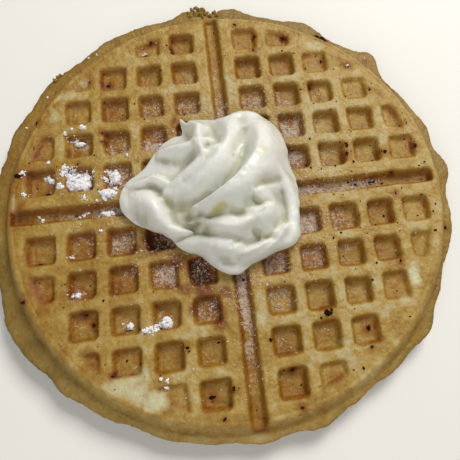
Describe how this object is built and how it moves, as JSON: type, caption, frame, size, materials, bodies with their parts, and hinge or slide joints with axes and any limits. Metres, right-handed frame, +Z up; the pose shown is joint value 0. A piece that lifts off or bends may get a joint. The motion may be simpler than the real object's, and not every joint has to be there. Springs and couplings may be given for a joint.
{
  "type": "waffle with whipped cream",
  "caption": "Round waffle in four quarters with square pockets on both faces and a ragged rim, topped with a folded dollop of whipped cream and lumps of sugar.",
  "frame": {"origin": "middle of the outline seen from above, on the surface that the waffle lies on", "axes": "+Z up out of the face with the cream, X and Y along the two grooves that part the quarters"},
  "size_m": [0.19, 0.1914, 0.0382],
  "materials": {
    "baked_batter": "baked batter, dry and slightly greasy, pale on the ridges and browned in the pockets",
    "whipped_cream": "soft whipped cream, moist and slightly glossy"
  },
  "bodies": {
    "root": {"waffle": "baked_batter", "whipped_cream": "whipped_cream"}
  },
  "joints": []
}
